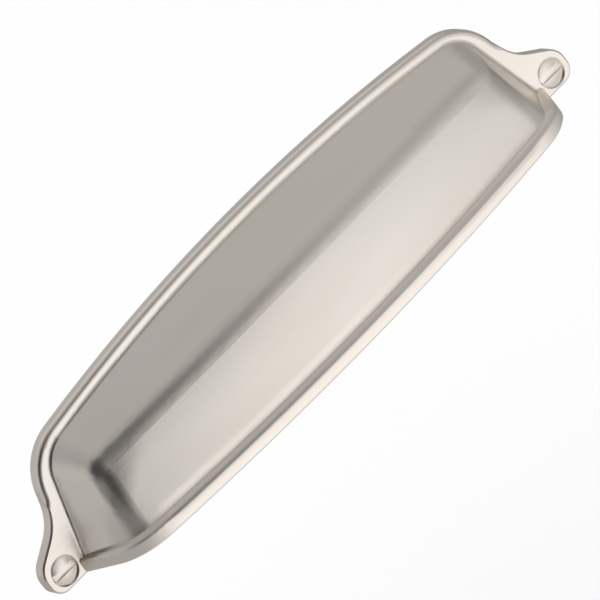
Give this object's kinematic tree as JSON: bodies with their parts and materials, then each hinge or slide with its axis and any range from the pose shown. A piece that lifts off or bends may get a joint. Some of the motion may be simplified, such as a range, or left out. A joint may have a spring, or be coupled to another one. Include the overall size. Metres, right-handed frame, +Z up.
{
  "type": "cup pull handle",
  "caption": "Long surface-mounted cup pull: a hollow cast hood open at the bottom with a rolled finger lip and a slotted screw through an ear at each end.",
  "frame": {"origin": "on the drawer front, midway between the two screw axes, which is 4.95 mm above the flush bottom edge", "axes": "+X along the pull from the left screw to the right screw, -Y out of the drawer front towards the hand, +Z up; the finger opening faces -Z"},
  "size_m": [0.204, 0.0403, 0.0414],
  "materials": {
    "cup_nickel": "satin brushed nickel plate on a zinc casting",
    "screw_nickel": "satin nickel plate on steel"
  },
  "bodies": {
    "root": {"cup": "cup_nickel", "screw_left": "screw_nickel", "screw_right": "screw_nickel"}
  },
  "joints": []
}
